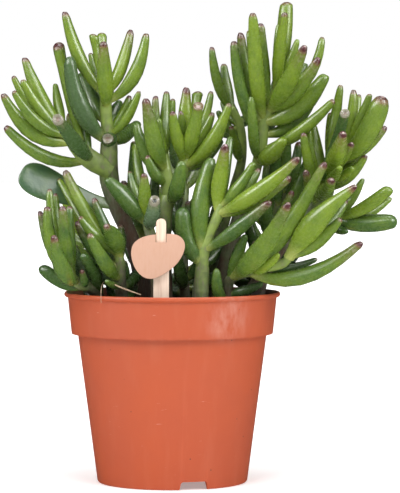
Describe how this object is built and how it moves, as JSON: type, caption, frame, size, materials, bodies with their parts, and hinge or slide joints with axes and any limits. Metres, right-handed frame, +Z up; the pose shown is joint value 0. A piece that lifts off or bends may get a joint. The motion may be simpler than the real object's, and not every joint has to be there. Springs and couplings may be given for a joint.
{
  "type": "potted hobbit jade",
  "caption": "Succulent with tubular, oblique-tipped leaves on woody stems, standing in a tapered nursery pot with a bare wooden plant label.",
  "frame": {"origin": "middle of the pot's base, where it stands on the surface", "axes": "+Z up along the pot's axis, -Y towards the label's side, +X to the right seen from there"},
  "size_m": [0.2189, 0.1685, 0.267],
  "materials": {
    "pot_plastic": "satin moulded plastic",
    "potting_soil": "loose and matt",
    "label_wood": "bare sanded wood",
    "bark": "dull, finely cracked",
    "leaf": "waxy gloss"
  },
  "bodies": {
    "root": {"pot": "pot_plastic", "soil": "potting_soil", "label_stake": "label_wood", "label_tag": "label_wood", "trunk_left": "bark", "trunk_middle": "bark", "trunk_front": "bark", "trunk_right": "bark", "trunk_top_right": "bark", "trunk_back_left": "bark", "trunk_back_middle": "bark", "trunk_back_right": "bark", "shoot_left_top": "leaf", "shoot_left_outer": "leaf", "shoot_middle_low": "leaf", "shoot_middle_left": "leaf", "shoot_middle_right": "leaf", "shoot_front": "leaf", "shoot_right_low": "leaf", "shoot_right_far": "leaf", "shoot_right_outer": "leaf", "shoot_right_top": "leaf", "shoot_rear": "leaf", "shoot_low_outer": "leaf", "shoot_low_inner": "leaf", "shoot_inner_left": "leaf", "shoot_inner_right": "leaf", "shoot_inner_far": "leaf", "shoot_back_left": "leaf", "shoot_back_middle": "leaf", "shoot_back_right": "leaf", "leaf_broad": "leaf"}
  },
  "joints": []
}
